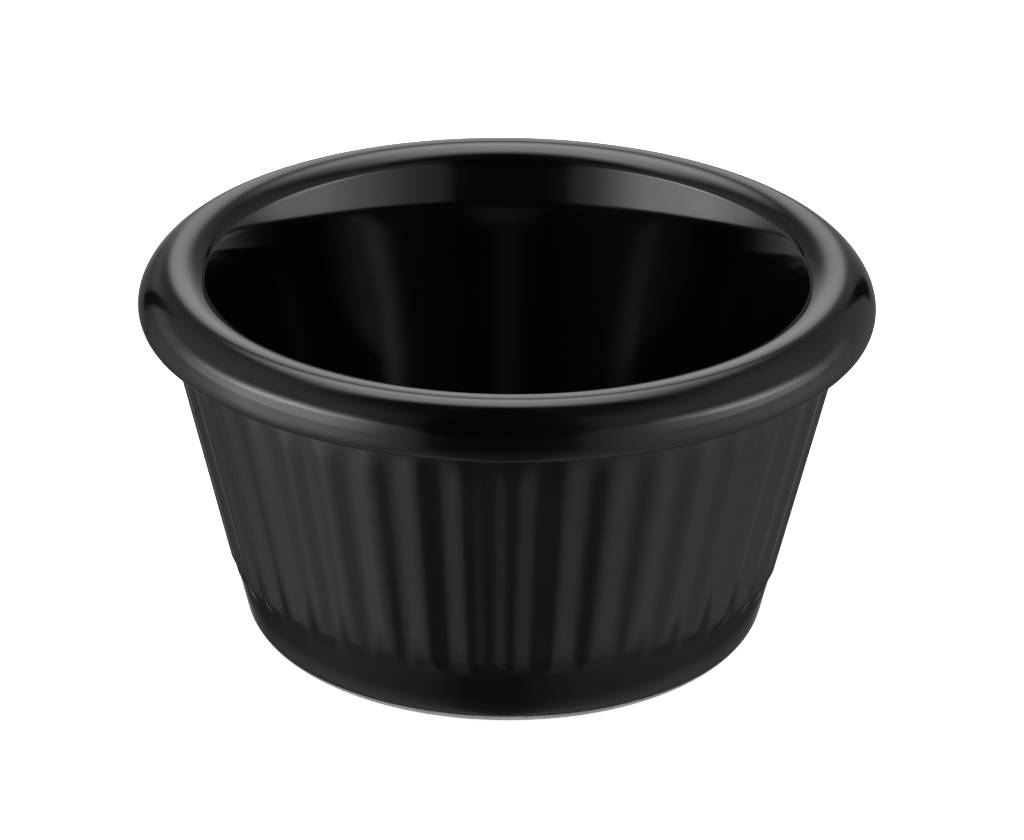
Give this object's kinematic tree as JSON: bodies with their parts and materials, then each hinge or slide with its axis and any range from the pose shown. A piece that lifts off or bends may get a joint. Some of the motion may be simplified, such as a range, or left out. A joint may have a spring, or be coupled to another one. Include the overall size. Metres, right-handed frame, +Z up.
{
  "type": "ramekin",
  "caption": "Small round ramekin with a thick rolled rim, flared ribbed sides and a plain band above a bare foot, black gloss glaze inside and out",
  "frame": {"origin": "centre of the base, on the surface that the ramekin stands on", "axes": "+Z up through the middle of the bowl, -Y is the front that the picture shows, +X is to the right there"},
  "size_m": [0.083, 0.083, 0.0436],
  "materials": {
    "stoneware": "unglazed matte",
    "glaze": "high gloss black glaze"
  },
  "bodies": {
    "root": {"stoneware_body": "stoneware", "glaze_coat": "glaze", "underside_glaze": "glaze"}
  },
  "joints": []
}
